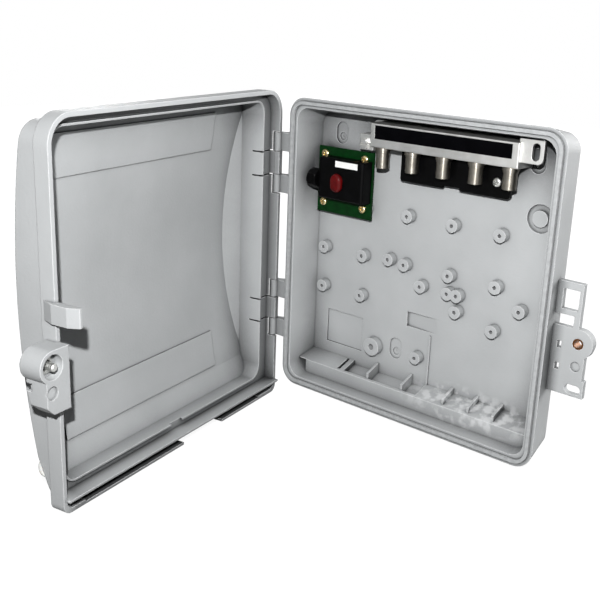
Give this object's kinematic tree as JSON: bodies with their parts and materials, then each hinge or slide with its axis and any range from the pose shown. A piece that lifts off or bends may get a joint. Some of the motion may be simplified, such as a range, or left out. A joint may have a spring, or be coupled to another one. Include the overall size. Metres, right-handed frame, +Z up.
{
  "type": "outdoor wiring enclosure",
  "caption": "Wall-mounted grey plastic wiring enclosure standing open, with a coax splitter and a small circuit board inside and a captive lock screw on the hinged cover.",
  "frame": {"origin": "middle of the back face, on the wall", "axes": "+Z up, +Y into the wall, +X to the right as seen from the front; the cover is hinged on the left"},
  "size_m": [0.289, 0.2854, 0.243],
  "materials": {
    "grey_moulded_plastic": "light grey, fine moulded grain",
    "foam_rubber": "grey sealing cord",
    "zinc_steel": "zinc plated",
    "brass": "turned",
    "brass_screw": "yellow passivated",
    "nickel_casting": "nickel plated die casting",
    "nickel_turned": "nickel plated, turned",
    "black_print": "bare black field",
    "white_insulator": "plain",
    "black_plastic": "moulded",
    "green_laminate": "solder resist",
    "red_plastic": "clear red, unlit",
    "white_strip": "bare",
    "pale_plastic": "moulded"
  },
  "bodies": {
    "base_unit": {"base_tray": "grey_moulded_plastic", "rim_gasket": "foam_rubber", "hinge_pin_upper": "zinc_steel", "hinge_pin_lower": "zinc_steel", "brass_insert": "brass", "splitter_housing": "nickel_casting", "splitter_back_plate": "nickel_casting", "splitter_face": "black_print", "port_dielectrics": "white_insulator", "port_guard": "black_plastic", "guard_screw": "zinc_steel", "ground_screw": "zinc_steel", "circuit_board": "green_laminate", "board_screws": "brass_screw", "module_housing": "black_plastic", "module_socket": "black_plastic", "red_lens": "red_plastic", "blank_strip": "white_strip", "coax_port_1": "nickel_turned", "coax_port_2": "nickel_turned", "coax_port_3": "nickel_turned", "coax_port_4": "nickel_turned", "coax_port_5": "nickel_turned"},
    "cover_unit": {"cover": "grey_moulded_plastic", "cover_plug": "pale_plastic"},
    "lock_carrier": {"lock_ring": "zinc_steel"},
    "lock_screw_unit": {"lock_screw": "zinc_steel"}
  },
  "joints": [
    {"name": "cover_hinge", "type": "hinge", "parent": "base_unit", "child": "cover_unit", "pos_m": [-0.1238, -0.0277, 0], "axis": [0, 0, -1], "range_deg": [-79.5, 80.5]},
    {"name": "lock_screw_travel", "type": "slide", "parent": "cover_unit", "child": "lock_carrier", "axis": [0.9833, 0.1822, 0], "range_m": [0, 0.005]},
    {"name": "lock_screw_turn", "type": "hinge", "parent": "lock_carrier", "child": "lock_screw_unit", "pos_m": [-0.06493, -0.27237, -0.022], "axis": [0.9833, 0.1822, 0], "continuous": true}
  ]
}
